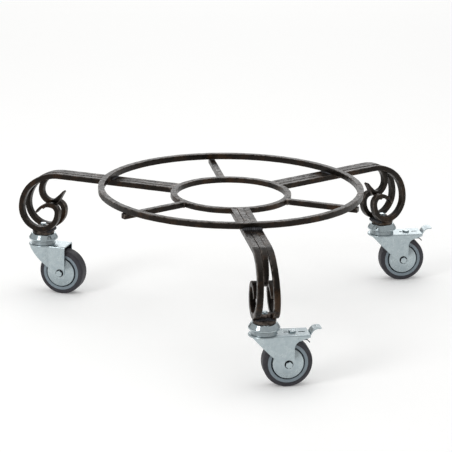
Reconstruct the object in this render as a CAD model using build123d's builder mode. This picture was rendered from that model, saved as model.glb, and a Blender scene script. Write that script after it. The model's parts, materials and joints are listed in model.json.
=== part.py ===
from build123d import *
import math
import os

os.makedirs("parts", exist_ok=True)

# A round wrought-iron trolley on three swivel castors. Two rings carry the load, three legs of three
# forged bars each run out from the inner ring, and each leg curls down onto a castor.
# The origin is on the floor, under the middle of the rings. The front leg points along -Y.
# Lengths are in millimetres, angles in degrees.

# ---- driving dimensions -------------------------------------------------------------------------

# Deck
OUTER_RING_RADIUS = 212.0       # outside edge of the big ring
OUTER_RING_WIDTH = 10.0         # radial width of its square bar
OUTER_RING_THICKNESS = 10.0
INNER_RING_RADIUS = 96.5        # outside edge of the small ring
DECK_HEIGHT = 217.0             # floor to the top of the big ring
EDGE_ROUND = 1.2                # worn corners of the ring bars
SPOKE_NUB = 2.0                 # how far a spoke's end shows past the big ring

# Forged bar, used for legs, spokes and the small ring
BAR_WIDTH = 10.0
BAR_THICKNESS = 9.0
TIP_THICKNESS = 3.5             # hammered ends of the scrolls

# Legs
LEG_ANGLES = {"front": -90.0, "right": 30.0, "left": 150.0}
KINGPIN_RADIUS = 331.0          # rings' axis to each castor's swivel axis
SPLAY = 2.6                     # outward lean of the two outer bars of a leg
SHOULDER_RADIUS = 75.0          # first, gentle bend of an outer bar
SHOULDER_TURN = 40.0
FLANK_RADIUS = 53.0             # second bend, until the bar points straight down
HOOK_OFFSET = 2.0               # lowest point of the scroll, inboard of the swivel axis
CURL_RADIUS = 30.5              # bend that brings the bar back up
EYE_RADIUS = 12.0               # small bend at the top of the curl
TIP_REACH = 26.0                # run of the hammered end past the eye, outward and down
TIP_DROP = 14.5
MIDDLE_BEND_INSET = 27.5        # the middle bar starts to bend this far inboard of the swivel axis
MIDDLE_DROP_RADIUS = 29.5
MIDDLE_HOOK_RADIUS = 18.5
MIDDLE_CURL_RADIUS = 14.0
MIDDLE_CURL_TURN = 53.0
MIDDLE_TIP_LENGTH = 18.0

# Castor seat and its bolt
SEAT_RADIUS = 18.0
SEAT_THICKNESS = 5.0
BOLT_RADIUS = 5.0
BOLT_HEX = 17.0                 # across flats
BOLT_HEAD_HEIGHT = 6.4
BOLT_NUT_HEIGHT = 8.0
BOLT_END = 3.0                  # thread standing out of the nut
SEAT_HOLE_CLEARANCE = 0.5
WASHER_RADIUS = 10.0
WASHER_THICKNESS = 2.0

# Castor
CASTOR_HEADINGS = {"front": 0.6, "right": 1.2, "left": -26.0}   # where each wheel trails to
BRAKED = ("front", "right")
CASTOR_HEIGHT = 100.0
WHEEL_RADIUS = 37.5
TYRE_WIDTH = 24.0
TYRE_BAND = 7.1                 # radial thickness of the tyre
TYRE_ROUND = 4.0
TRAIL = 35.0                    # swivel axis to axle
SHEET = 2.0                     # pressed steel of the fork
FORK_HALF_WIDTH = 18.5
FORK_TOP = 82.5
HEAD_RADIUS = 24.0
HEAD_FLARE_RADIUS = 6.0         # where the round head narrows into the cheeks
NOSE_SKIRT = 1.0                # skirt under the head's front edge
CUT_OVERLAP = 1.0               # how far cutting shapes run past the faces they cut
CAP_RADIUS = 24.2
CAP_EDGE_HEIGHT = 90.5
CAP_SKIRT = 2.0
CAP_CROWN_RADIUS = 19.5
CAP_SHEET = 1.9
BOSS_HEIGHT = 6.0               # raised ball track of the fork
BOSS_BASE_RADIUS = 20.0
BOSS_TOP_RADIUS = 18.5
BOSS_HOLE_RADIUS = 8.0
SWIVEL_GAP = 0.5                # kingpin bush to fork, and ball to race
BRAKED_FORK_REACH = 67.0        # swivel axis to the rear end of the fork's top
PLAIN_FORK_REACH = 43.5
CHEEK_END_RADIUS = 8.5          # round lower end of a fork cheek
CHEEK_REAR_HEIGHT = 62.0        # where the braked fork's rear edge starts to sweep back
CHEEK_SWEEP_RADIUS = 12.0
CHEEK_SWEEP_TURN = 66.0
CHEEK_REAR_FLANGE = 4.0         # depth of the cheek at the braked fork's rear end
UPPER_BALL_RADIUS = 3.0
UPPER_BALL_CIRCLE = 16.5
UPPER_BALL_COUNT = 14
LOWER_BALL_RADIUS = 2.5
LOWER_BALL_CIRCLE = 12.5
LOWER_BALL_COUNT = 10
RACE_RADIUS = 15.5
RACE_THICKNESS = 2.2

# Wheel and axle
AXLE_RADIUS = 3.0
AXLE_HEX = 10.0
AXLE_HEAD_HEIGHT = 4.0
AXLE_HEAD_CHAMFER = 0.6
AXLE_HEX_TURN = 20.0            # how the bolt's hexagon happens to stand
AXLE_NUT_HEIGHT = 5.0
AXLE_END = 2.0
SLEEVE_RADIUS = 6.0
HUB_RADIUS = 10.0
RIM_WALL = 4.9
WEB_HALF_THICKNESS = 3.0
WEB_DRAFT = 1.0                 # how far the rim's and hub's walls lean towards the web
HUB_SIDE_GAP = 1.2              # hub end to thread guard
GUARD_GAP = 2.1                 # radial, between a thread guard and the rim
GUARD_HUB_RADIUS = 11.0
GUARD_SHEET = 1.2
GUARD_DISH = 3.6                # the guard's edge stands this far in from its middle
RUNNING_CLEARANCE = 0.06        # radial, between a hole and the shaft that turns in it

# Brake
PEDAL_PIVOT_X = 50.0
PEDAL_PIVOT_DROP = 6.2          # pivot below the fork's top
PEDAL_PIN_RADIUS = 1.5
PEDAL_BOSS_RADIUS = 3.3
CAM_NOSE_RADIUS = 1.2
CAM_NOSE_REACH = 2.45
PEDAL_HALF_WIDTH = 10.0
PEDAL_SHEET = 1.6
PEDAL_UNDER_PLATE_GAP = 0.7
PEDAL_BEND_INSET = 0.5          # the plate bends up this far inside the fork's rear end
PEDAL_BEND_RADIUS = 3.0
PEDAL_RISE_ANGLE = 62.0
PEDAL_RISE_LENGTH = 3.0
PEDAL_ARCH_RADIUS = 11.0
PEDAL_ARCH_TURN = 66.0
PEDAL_TIP_LENGTH = 4.5
PEDAL_CORNER = 3.5              # the tab's two outer corners, seen from above
BRAKE_TRAVEL = 20.0             # how far the pedal turns when it is pressed
SPRING_WIRE_RADIUS = 0.8
SPRING_LENGTH = 3.6
SPRING_REACH = 12.5             # from the pedal's pivot to the bend of the spring's tail
SPRING_TAIL = 3.9               # how far the tail runs down, and as far back
ADJUSTER_X = 42.0
ADJUSTER_HEAD_RADIUS = 5.6
ADJUSTER_HEAD_HEIGHT = 2.4
ADJUSTER_SLOT = 1.2             # width and depth of its slot
ADJUSTER_SHANK_RADIUS = 2.0
ADJUSTER_SHANK = 4.5            # below the fork's top plate
SLOT_HALF_WIDTH = 1.8
REAR_SLOT = (51.5, 61.5)        # from and to, along the fork
FRONT_SLOT = (30.0, 35.5)

# ---- values worked out from them ----------------------------------------------------------------

HALF_BAR = BAR_THICKNESS / 2
ARM_TOP = DECK_HEIGHT - OUTER_RING_THICKNESS
SEAT_TOP = CASTOR_HEIGHT + SEAT_THICKNESS
SPLAY_RISE = BAR_WIDTH * math.sin(math.radians(SPLAY))
SCROLL_HEIGHT = (ARM_TOP - SEAT_TOP - SPLAY_RISE) / math.cos(math.radians(SPLAY))
TURN_SIN = math.sin(math.radians(SHOULDER_TURN))
TURN_COS = math.cos(math.radians(SHOULDER_TURN))
HOOK_RADIUS = SCROLL_HEIGHT - BAR_THICKNESS - SHOULDER_RADIUS * (1 - TURN_COS) - FLANK_RADIUS * TURN_COS
BEND_START = (
    KINGPIN_RADIUS - HOOK_OFFSET + HOOK_RADIUS - FLANK_RADIUS * (1 - TURN_SIN) - SHOULDER_RADIUS * TURN_SIN
)
SEAT_HOLE_RADIUS = BOLT_RADIUS + SEAT_HOLE_CLEARANCE
PLATE_UNDERSIDE = FORK_TOP - SHEET
BOSS_TOP = FORK_TOP + BOSS_HEIGHT
BUSH_RADIUS = BOSS_HOLE_RADIUS - SWIVEL_GAP
BUSH_BORE_RADIUS = BOLT_RADIUS + RUNNING_CLEARANCE
CAP_UNDERSIDE = BOSS_TOP + 2 * UPPER_BALL_RADIUS + SWIVEL_GAP
RACE_TOP = BOSS_TOP - SHEET - 2 * LOWER_BALL_RADIUS - SWIVEL_GAP
RACE_BOTTOM = RACE_TOP - RACE_THICKNESS
WASHER_BOTTOM = RACE_BOTTOM - WASHER_THICKNESS
CHEEK_INSIDE = FORK_HALF_WIDTH - SHEET
RIM_RADIUS = WHEEL_RADIUS - TYRE_BAND
RIM_INSIDE = RIM_RADIUS - RIM_WALL
GUARD_RADIUS = RIM_INSIDE - GUARD_GAP
HUB_HALF_LENGTH = CHEEK_INSIDE - GUARD_SHEET - HUB_SIDE_GAP
PEDAL_PIVOT_Z = FORK_TOP - PEDAL_PIVOT_DROP
SPRING_WIRE_DROP = PEDAL_PIN_RADIUS + SPRING_WIRE_RADIUS
SPRING_RADIUS = SPRING_WIRE_DROP + SPRING_WIRE_RADIUS


def write(solid, name):
    """Label a finished piece and write it to its own file."""
    solid.label = name
    export_step(solid, f"parts/{name}.step")


# ---- places -------------------------------------------------------------------------------------


def leg_direction(leg):
    """The way a leg runs out from the rings' axis."""
    angle = math.radians(LEG_ANGLES[leg])
    return Vector(math.cos(angle), math.sin(angle), 0)


def bar_plane(leg, side):
    """The middle plane of one leg bar: x runs outward, y up, and the bars' tops are at y = 0."""
    out = leg_direction(leg)
    across = Vector(-out.Y, out.X, 0) * (side or 1)
    lean = math.radians(SPLAY) if side else 0
    up = Vector(0, 0, math.cos(lean)) - across * math.sin(lean)
    outward = across * math.cos(lean) + Vector(0, 0, math.sin(lean))
    top_edge = across * (1.5 * BAR_WIDTH if side else 0.5 * BAR_WIDTH) + Vector(0, 0, ARM_TOP)
    return Plane(origin=top_edge - outward * (BAR_WIDTH / 2), x_dir=out, z_dir=out.cross(up))


def seat_plane(leg, height=0.0):
    """A level plane on a leg's swivel axis, with x running outward along the leg."""
    out = leg_direction(leg)
    return Plane(origin=out * KINGPIN_RADIUS + Vector(0, 0, height), x_dir=out, z_dir=(0, 0, 1))


def castor_plane(leg, height=0.0):
    """A level plane on the swivel axis, with x running along the castor's trail."""
    heading = math.radians(CASTOR_HEADINGS[leg])
    trail = Vector(math.cos(heading), math.sin(heading), 0)
    return Plane(origin=seat_plane(leg, height).origin, x_dir=trail, z_dir=(0, 0, 1))


def side_plane(leg):
    """The castor's own middle plane: x runs along the trail, y up from the floor."""
    level = castor_plane(leg)
    return Plane(origin=level.origin, x_dir=level.x_dir, z_dir=-level.y_dir)


def swivel_axis(leg):
    return Axis(castor_plane(leg).origin, (0, 0, 1))


def axle_axis(leg):
    level = castor_plane(leg, WHEEL_RADIUS)
    return Axis(level.from_local_coords(Vector(TRAIL, 0, 0)), level.y_dir)


def across_plane(leg, x, z):
    """A plane facing along the axle, at a point of the castor's middle plane; x runs along the trail."""
    side = side_plane(leg)
    return Plane(origin=side.from_local_coords(Vector(x, z, 0)), x_dir=side.x_dir, z_dir=side.z_dir)


# ---- deck ---------------------------------------------------------------------------------------


def ring(name, outer_radius, width, bottom, top):
    """A ring of square bar with worn corners."""
    with BuildPart() as hoop:
        with BuildSketch(Plane.XZ) as section:
            with Locations((outer_radius - width / 2, (bottom + top) / 2)):
                RectangleRounded(width, top - bottom, EDGE_ROUND)
        revolve(axis=Axis.Z)
    write(hoop.part, name)


def spoke(name, angle):
    """A single bar from the small ring to just past the big ring, which rests on it."""
    reach = OUTER_RING_RADIUS + SPOKE_NUB
    direction = Vector(math.cos(math.radians(angle)), math.sin(math.radians(angle)), 0)
    with BuildPart() as bar:
        with BuildSketch(Plane(origin=(0, 0, ARM_TOP), x_dir=direction, z_dir=(0, 0, 1))):
            with Locations((reach / 2, 0)):
                Rectangle(reach, BAR_WIDTH)
        extrude(amount=-BAR_THICKNESS)
        end = bar.faces().filter_by(GeomType.PLANE).sort_by(lambda face: face.center().dot(direction))[-1]
        fillet(end.edges(), radius=EDGE_ROUND)
        Cylinder(INNER_RING_RADIUS, 3 * DECK_HEIGHT, mode=Mode.SUBTRACT)
    write(bar.part, name)


# ---- leg bars -----------------------------------------------------------------------------------


def outer_bar_edge(offset):
    """One long edge of an outer bar, offset outside (+) or inside (-) of the bar's middle line."""
    arm = Line((0, offset - HALF_BAR), (BEND_START, offset - HALF_BAR))
    shoulder = JernArc(arm @ 1, arm % 1, SHOULDER_RADIUS + offset, -SHOULDER_TURN)
    flank = JernArc(shoulder @ 1, shoulder % 1, FLANK_RADIUS + offset, SHOULDER_TURN - 90)
    hook = JernArc(flank @ 1, flank % 1, HOOK_RADIUS + offset, -90)
    curl = JernArc(hook @ 1, hook % 1, CURL_RADIUS + offset, -90)
    eye = JernArc(curl @ 1, curl % 1, EYE_RADIUS + offset, -90)
    narrowing = (HALF_BAR - TIP_THICKNESS / 2) * (1 if offset > 0 else -1)
    tip_end = eye @ 1 + Vector(TIP_REACH, -TIP_DROP - narrowing, 0)
    tip = TangentArc(eye @ 1, tip_end, tangent=eye % 1)
    return arm @ 0, tip @ 1


def middle_bar_edge(offset):
    """One long edge of the middle bar, whose scroll is smaller and ends in a straight tip."""
    arm = Line((0, offset - HALF_BAR), (KINGPIN_RADIUS - MIDDLE_BEND_INSET, offset - HALF_BAR))
    drop = JernArc(arm @ 1, arm % 1, MIDDLE_DROP_RADIUS + offset, -90)
    hook = JernArc(drop @ 1, drop % 1, MIDDLE_HOOK_RADIUS + offset, -90)
    curl = JernArc(hook @ 1, hook % 1, MIDDLE_CURL_RADIUS + offset, -MIDDLE_CURL_TURN)
    along = (curl % 1).normalized()
    inward = Vector(along.Y, -along.X, 0)
    narrowing = (HALF_BAR - TIP_THICKNESS / 2) * (1 if offset > 0 else -1)
    tip = Line(curl @ 1, curl @ 1 + along * MIDDLE_TIP_LENGTH + inward * narrowing)
    return arm @ 0, tip @ 1


def leg_bar(leg, side, side_name):
    """One forged bar: it butts on the small ring, passes under the big ring and ends in a scroll."""
    edge = outer_bar_edge if side else middle_bar_edge
    with BuildPart() as bar:
        with BuildSketch(bar_plane(leg, side)):
            with BuildLine():
                outside_start, outside_end = edge(HALF_BAR)
                inside_start, inside_end = edge(-HALF_BAR)
                Line(outside_start, inside_start)
                Line(outside_end, inside_end)
            make_face()
        extrude(amount=BAR_WIDTH / 2, both=True)
        Cylinder(INNER_RING_RADIUS, 3 * DECK_HEIGHT, mode=Mode.SUBTRACT)
    write(bar.part, f"{leg}_leg_{side_name}_bar")


# ---- castor seat and its bolt -------------------------------------------------------------------


def castor_seat(leg):
    """The round plate welded under a leg, which the castor bolts to."""
    with BuildPart() as seat:
        with BuildSketch(seat_plane(leg, CASTOR_HEIGHT)):
            Circle(SEAT_RADIUS)
            Circle(SEAT_HOLE_RADIUS, mode=Mode.SUBTRACT)
        extrude(amount=SEAT_THICKNESS)
    write(seat.part, f"{leg}_castor_seat")


def kingpin_bolts():
    """Three hexagon bolts, put in from below, with their thread ends above the nuts."""
    with BuildPart() as bolts:
        for leg in LEG_ANGLES:
            with BuildSketch(castor_plane(leg, WASHER_BOTTOM)):
                RegularPolygon(BOLT_HEX / 2, 6, major_radius=False)
            extrude(amount=-BOLT_HEAD_HEIGHT)
            with BuildSketch(castor_plane(leg, WASHER_BOTTOM)):
                Circle(BOLT_RADIUS)
            extrude(amount=SEAT_TOP + BOLT_NUT_HEIGHT + BOLT_END - WASHER_BOTTOM)
    write(bolts.part, "kingpin_bolts")


def kingpin_nuts():
    """Three nuts on top of the seats, between the outer bars of each leg."""
    with BuildPart() as nuts:
        for leg in LEG_ANGLES:
            with BuildSketch(seat_plane(leg, SEAT_TOP)):
                RegularPolygon(BOLT_HEX / 2, 6, major_radius=False)
                Circle(BUSH_BORE_RADIUS, mode=Mode.SUBTRACT)
            extrude(amount=BOLT_NUT_HEIGHT)
    write(nuts.part, "kingpin_nuts")


def kingpin_washers():
    """Three washers between the bolt heads and the lower ball races."""
    with BuildPart() as washers:
        for leg in LEG_ANGLES:
            with BuildSketch(seat_plane(leg, WASHER_BOTTOM)):
                Circle(WASHER_RADIUS)
                Circle(BUSH_BORE_RADIUS, mode=Mode.SUBTRACT)
            extrude(amount=WASHER_THICKNESS)
    write(washers.part, "kingpin_washers")


# ---- swivel head --------------------------------------------------------------------------------


def turned(leg, outline):
    """Turn a closed outline of (radius, height) points about the swivel axis."""
    with BuildSketch(side_plane(leg)) as section:
        with BuildLine():
            Polyline(*outline, close=True)
        make_face()
    revolve(section.sketch, axis=swivel_axis(leg))


def swivel_cap(leg):
    """The pressed cap that covers the upper balls and stays still under the seat."""
    with BuildPart() as cap:
        turned(
            leg,
            [
                (BUSH_BORE_RADIUS, CASTOR_HEIGHT),
                (CAP_CROWN_RADIUS, CASTOR_HEIGHT),
                (CAP_RADIUS, CAP_EDGE_HEIGHT + CAP_SKIRT),
                (CAP_RADIUS, CAP_EDGE_HEIGHT),
                (CAP_RADIUS - CAP_SHEET, CAP_EDGE_HEIGHT),
                (CAP_RADIUS - CAP_SHEET, CAP_EDGE_HEIGHT + CAP_SKIRT),
                (CAP_CROWN_RADIUS - CAP_SHEET, CAP_UNDERSIDE),
                (BUSH_BORE_RADIUS, CAP_UNDERSIDE),
            ],
        )
    write(cap.part, f"{leg}_swivel_cap")


def kingpin_bush(leg):
    """The hollow kingpin, with the lower ball race as its flange."""
    with BuildPart() as bush:
        turned(
            leg,
            [
                (BUSH_BORE_RADIUS, RACE_BOTTOM),
                (RACE_RADIUS, RACE_BOTTOM),
                (RACE_RADIUS, RACE_TOP),
                (BUSH_RADIUS, RACE_TOP),
                (BUSH_RADIUS, CAP_UNDERSIDE),
                (BUSH_BORE_RADIUS, CAP_UNDERSIDE),
            ],
        )
    write(bush.part, f"{leg}_kingpin_bush")


def swivel_balls(leg):
    """The two rows of bearing balls, one above and one below the fork's ball track."""
    rows = (
        (UPPER_BALL_CIRCLE, BOSS_TOP + UPPER_BALL_RADIUS, UPPER_BALL_RADIUS, UPPER_BALL_COUNT),
        (LOWER_BALL_CIRCLE, BOSS_TOP - SHEET - LOWER_BALL_RADIUS, LOWER_BALL_RADIUS, LOWER_BALL_COUNT),
    )
    with BuildPart() as balls:
        for circle, height, radius, count in rows:
            with Locations(castor_plane(leg, height)):
                with PolarLocations(circle, count):
                    Sphere(radius)
    write(balls.part, f"{leg}_swivel_balls")


# ---- fork ---------------------------------------------------------------------------------------


def fork_plan(head_radius, half_width, reach):
    """The fork seen from above: a round head that narrows into two straight cheeks."""
    Circle(head_radius)
    with Locations((reach / 2, 0)):
        Rectangle(reach, 2 * half_width)
    flare = [v for v in vertices() if 0 < v.X < head_radius]
    fillet(flare, radius=HEAD_FLARE_RADIUS)


def fork_side(reach, swept):
    """The fork seen from the side: a slanting front edge, a round end at the axle, and its rear edge."""
    slant = CHEEK_END_RADIUS * math.sqrt(0.5)
    foot = (TRAIL - slant, WHEEL_RADIUS - slant)
    nose_z = PLATE_UNDERSIDE - NOSE_SKIRT
    nose = (foot[0] + foot[1] - nose_z, nose_z)
    rear_x = TRAIL + CHEEK_END_RADIUS
    with BuildLine() as outline:
        front = Polyline((-HEAD_RADIUS - CUT_OVERLAP, FORK_TOP), (-HEAD_RADIUS - CUT_OVERLAP, nose_z), nose, foot)
        end = TangentArc(foot, (rear_x, WHEEL_RADIUS), tangent=(1, -1))
        if swept:
            rear = Line(end @ 1, (rear_x, CHEEK_REAR_HEIGHT))
            sweep_back = JernArc(rear @ 1, (0, 1), CHEEK_SWEEP_RADIUS, -CHEEK_SWEEP_TURN)
            flange = (reach, FORK_TOP - CHEEK_REAR_FLANGE)
            Polyline(sweep_back @ 1, flange, (reach, FORK_TOP), front @ 0)
        else:
            Polyline(end @ 1, (rear_x, FORK_TOP), front @ 0)
    make_face(outline.edges())


def fork(leg):
    """The pressed steel fork: two cheeks, a top plate and the raised ball track of the swivel."""
    braked = leg in BRAKED
    reach = BRAKED_FORK_REACH if braked else PLAIN_FORK_REACH
    depth = FORK_TOP - WHEEL_RADIUS + CHEEK_END_RADIUS
    with BuildPart() as body:
        with BuildSketch(castor_plane(leg, FORK_TOP)):
            fork_plan(HEAD_RADIUS, FORK_HALF_WIDTH, reach + SHEET)
        extrude(amount=-depth)
        fillet(body.faces().sort_by(Axis.Z)[-1].edges(), radius=SHEET)
        with BuildSketch(castor_plane(leg, PLATE_UNDERSIDE)):
            fork_plan(HEAD_RADIUS - SHEET, CHEEK_INSIDE, reach + 2 * SHEET)
        extrude(amount=-depth, mode=Mode.SUBTRACT)
        with BuildSketch(side_plane(leg)):
            fork_side(reach, braked)
        extrude(amount=2 * FORK_HALF_WIDTH, both=True, mode=Mode.INTERSECT)
        turned(
            leg,
            [
                (0, PLATE_UNDERSIDE),
                (BOSS_BASE_RADIUS, PLATE_UNDERSIDE),
                (BOSS_BASE_RADIUS, FORK_TOP),
                (BOSS_TOP_RADIUS, BOSS_TOP),
                (0, BOSS_TOP),
            ],
        )
        with BuildSketch(side_plane(leg)):
            with BuildLine():
                Polyline(
                    (0, PLATE_UNDERSIDE - CUT_OVERLAP),
                    (BOSS_BASE_RADIUS - SHEET, PLATE_UNDERSIDE - CUT_OVERLAP),
                    (BOSS_TOP_RADIUS - SHEET, BOSS_TOP - SHEET),
                    (BOSS_HOLE_RADIUS, BOSS_TOP - SHEET),
                    (BOSS_HOLE_RADIUS, BOSS_TOP + CUT_OVERLAP),
                    (0, BOSS_TOP + CUT_OVERLAP),
                    close=True,
                )
            make_face()
        revolve(axis=swivel_axis(leg), mode=Mode.SUBTRACT)
        with BuildSketch(across_plane(leg, TRAIL, WHEEL_RADIUS)):
            Circle(AXLE_RADIUS)
        extrude(amount=2 * FORK_HALF_WIDTH, both=True, mode=Mode.SUBTRACT)
        if braked:
            with BuildSketch(across_plane(leg, PEDAL_PIVOT_X, PEDAL_PIVOT_Z)):
                Circle(PEDAL_PIN_RADIUS)
            extrude(amount=2 * FORK_HALF_WIDTH, both=True, mode=Mode.SUBTRACT)
            with BuildSketch(castor_plane(leg, FORK_TOP)):
                with Locations((ADJUSTER_X, 0)):
                    Circle(ADJUSTER_SHANK_RADIUS)
                for start, stop in (FRONT_SLOT, REAR_SLOT):
                    with Locations(((start + stop) / 2, 0)):
                        SlotOverall(stop - start, 2 * SLOT_HALF_WIDTH)
            extrude(amount=-2 * SHEET, mode=Mode.SUBTRACT)
    write(body.part, f"{leg}_fork")


# ---- wheel and axle -----------------------------------------------------------------------------


def turned_on_axle(leg, outline):
    """Turn a closed outline of (distance along the axle, radius) points about the axle."""
    level = castor_plane(leg, WHEEL_RADIUS)
    centre = level.from_local_coords(Vector(TRAIL, 0, 0))
    with BuildSketch(Plane(origin=centre, x_dir=level.y_dir, z_dir=level.x_dir)) as section:
        with BuildLine():
            Polyline(*outline, close=True)
        make_face()
    revolve(section.sketch, axis=axle_axis(leg))


def tyre(leg):
    """The rubber tyre, with rounded shoulders."""
    half = TYRE_WIDTH / 2
    with BuildPart() as band:
        turned_on_axle(
            leg,
            [(-half, RIM_RADIUS), (half, RIM_RADIUS), (half, WHEEL_RADIUS), (-half, WHEEL_RADIUS)],
        )
        outside = band.faces().filter_by(GeomType.CYLINDER).sort_by(lambda face: face.area)[-1]
        fillet(outside.edges().filter_by(GeomType.CIRCLE), radius=TYRE_ROUND)
    write(band.part, f"{leg}_tyre")


def wheel_centre(leg):
    """The moulded wheel centre: rim, web and hub in one piece."""
    half = TYRE_WIDTH / 2
    bore = SLEEVE_RADIUS + RUNNING_CLEARANCE
    profile = [
        (half, RIM_RADIUS),
        (half, RIM_INSIDE),
        (WEB_HALF_THICKNESS, RIM_INSIDE - WEB_DRAFT),
        (WEB_HALF_THICKNESS, HUB_RADIUS + WEB_DRAFT),
        (HUB_HALF_LENGTH, HUB_RADIUS),
        (HUB_HALF_LENGTH, bore),
    ]
    mirrored = [(-x, r) for x, r in reversed(profile)]
    with BuildPart() as centre:
        turned_on_axle(leg, profile + mirrored)
    write(centre.part, f"{leg}_wheel_centre")


def thread_guards(leg):
    """Two dished discs that keep thread out of the hub, one under each cheek of the fork."""
    outside = CHEEK_INSIDE
    edge = outside - GUARD_DISH
    with BuildPart() as guards:
        for side in (-1, 1):
            outline = [
                (outside, AXLE_RADIUS),
                (outside, GUARD_HUB_RADIUS),
                (edge, GUARD_RADIUS),
                (edge - GUARD_SHEET, GUARD_RADIUS),
                (outside - GUARD_SHEET, GUARD_HUB_RADIUS),
                (outside - GUARD_SHEET, AXLE_RADIUS),
            ]
            turned_on_axle(leg, [(side * x, r) for x, r in outline])
    write(guards.part, f"{leg}_thread_guards")


def axle_sleeve(leg):
    """The tube that the hub turns on, clamped between the thread guards."""
    half = CHEEK_INSIDE - GUARD_SHEET
    with BuildPart() as sleeve:
        turned_on_axle(
            leg, [(-half, AXLE_RADIUS), (half, AXLE_RADIUS), (half, SLEEVE_RADIUS), (-half, SLEEVE_RADIUS)]
        )
    write(sleeve.part, f"{leg}_axle_sleeve")


def axle_bolt(leg):
    """The hexagon bolt through the fork, with its head on one cheek."""
    plane = across_plane(leg, TRAIL, WHEEL_RADIUS)
    with BuildPart() as bolt:
        with BuildSketch(plane.offset(FORK_HALF_WIDTH)):
            RegularPolygon(AXLE_HEX / 2, 6, major_radius=False, rotation=AXLE_HEX_TURN)
        extrude(amount=AXLE_HEAD_HEIGHT)
        with BuildSketch(plane.offset(FORK_HALF_WIDTH)):
            Circle(AXLE_RADIUS)
        extrude(amount=-(2 * FORK_HALF_WIDTH + AXLE_NUT_HEIGHT + AXLE_END))
        top = bolt.faces().sort_by(lambda face: face.center().dot(plane.z_dir))[-1]
        chamfer(top.edges(), length=AXLE_HEAD_CHAMFER)
    write(bolt.part, f"{leg}_axle_bolt")


def axle_nut(leg):
    plane = across_plane(leg, TRAIL, WHEEL_RADIUS)
    with BuildPart() as nut:
        with BuildSketch(plane.offset(-FORK_HALF_WIDTH)):
            RegularPolygon(AXLE_HEX / 2, 6, major_radius=False)
            Circle(AXLE_RADIUS, mode=Mode.SUBTRACT)
        extrude(amount=-AXLE_NUT_HEIGHT)
    write(nut.part, f"{leg}_axle_nut")


# ---- brake --------------------------------------------------------------------------------------


def brake_pedal(leg):
    """The brake lever: a cam on its pivot, and a plate that runs out under the fork and arches up."""
    plate_z = PLATE_UNDERSIDE - PEDAL_UNDER_PLATE_GAP - PEDAL_SHEET / 2
    to_tyre = Vector(TRAIL - PEDAL_PIVOT_X, WHEEL_RADIUS - PEDAL_PIVOT_Z, 0).normalized()
    nose = to_tyre.rotate(Axis.Z, BRAKE_TRAVEL) * CAM_NOSE_REACH
    with BuildPart() as pedal:
        with BuildSketch(side_plane(leg)):
            with Locations((PEDAL_PIVOT_X, PEDAL_PIVOT_Z)):
                Circle(PEDAL_BOSS_RADIUS)
            with Locations((PEDAL_PIVOT_X + nose.X, PEDAL_PIVOT_Z + nose.Y)):
                Circle(CAM_NOSE_RADIUS)
            with BuildLine():
                under = Line((PEDAL_PIVOT_X, plate_z), (BRAKED_FORK_REACH - PEDAL_BEND_INSET, plate_z))
                bend = JernArc(under @ 1, under % 1, PEDAL_BEND_RADIUS, PEDAL_RISE_ANGLE)
                rise_end = bend @ 1 + (bend % 1).normalized() * PEDAL_RISE_LENGTH
                rise = Line(bend @ 1, rise_end)
                arch = JernArc(rise @ 1, rise % 1, PEDAL_ARCH_RADIUS, -PEDAL_ARCH_TURN)
                Line(arch @ 1, arch @ 1 + (arch % 1).normalized() * PEDAL_TIP_LENGTH)
            trace(line_width=PEDAL_SHEET)
            with Locations((PEDAL_PIVOT_X, PEDAL_PIVOT_Z)):
                Circle(PEDAL_PIN_RADIUS + RUNNING_CLEARANCE, mode=Mode.SUBTRACT)
        extrude(amount=PEDAL_HALF_WIDTH, both=True)
        tip = pedal.faces().sort_by(lambda face: face.center().dot(side_plane(leg).x_dir))[-1]
        fillet(tip.edges().filter_by(lambda edge: edge.length < PEDAL_HALF_WIDTH), radius=PEDAL_CORNER)
    write(pedal.part, f"{leg}_brake_pedal")


def brake_pin(leg):
    """The pin that the pedal turns on, riveted flush with the fork's cheeks."""
    with BuildPart() as pin:
        with BuildSketch(across_plane(leg, PEDAL_PIVOT_X, PEDAL_PIVOT_Z)):
            Circle(PEDAL_PIN_RADIUS)
        extrude(amount=FORK_HALF_WIDTH, both=True)
    write(pin.part, f"{leg}_brake_pin")


def brake_spring(leg):
    """The torsion spring beside the pedal, with its tail bent down behind the fork."""
    plane = across_plane(leg, PEDAL_PIVOT_X, PEDAL_PIVOT_Z)
    start = PEDAL_HALF_WIDTH + SWIVEL_GAP
    wire = start + SPRING_LENGTH - SPRING_WIRE_RADIUS
    with BuildPart() as spring:
        with BuildSketch(plane.offset(start)):
            Circle(SPRING_RADIUS)
            Circle(PEDAL_PIN_RADIUS, mode=Mode.SUBTRACT)
        extrude(amount=SPRING_LENGTH)
        with BuildLine(plane.offset(wire)) as tail:
            FilletPolyline(
                (0, -SPRING_WIRE_DROP),
                (SPRING_REACH, -SPRING_WIRE_DROP),
                (SPRING_REACH + SPRING_TAIL, -SPRING_WIRE_DROP - SPRING_TAIL),
                radius=2 * SPRING_WIRE_RADIUS,
            )
        with BuildSketch(Plane(origin=tail.line @ 0, z_dir=tail.line % 0)):
            Circle(SPRING_WIRE_RADIUS)
        sweep(path=tail.line)
    write(spring.part, f"{leg}_brake_spring")


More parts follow.
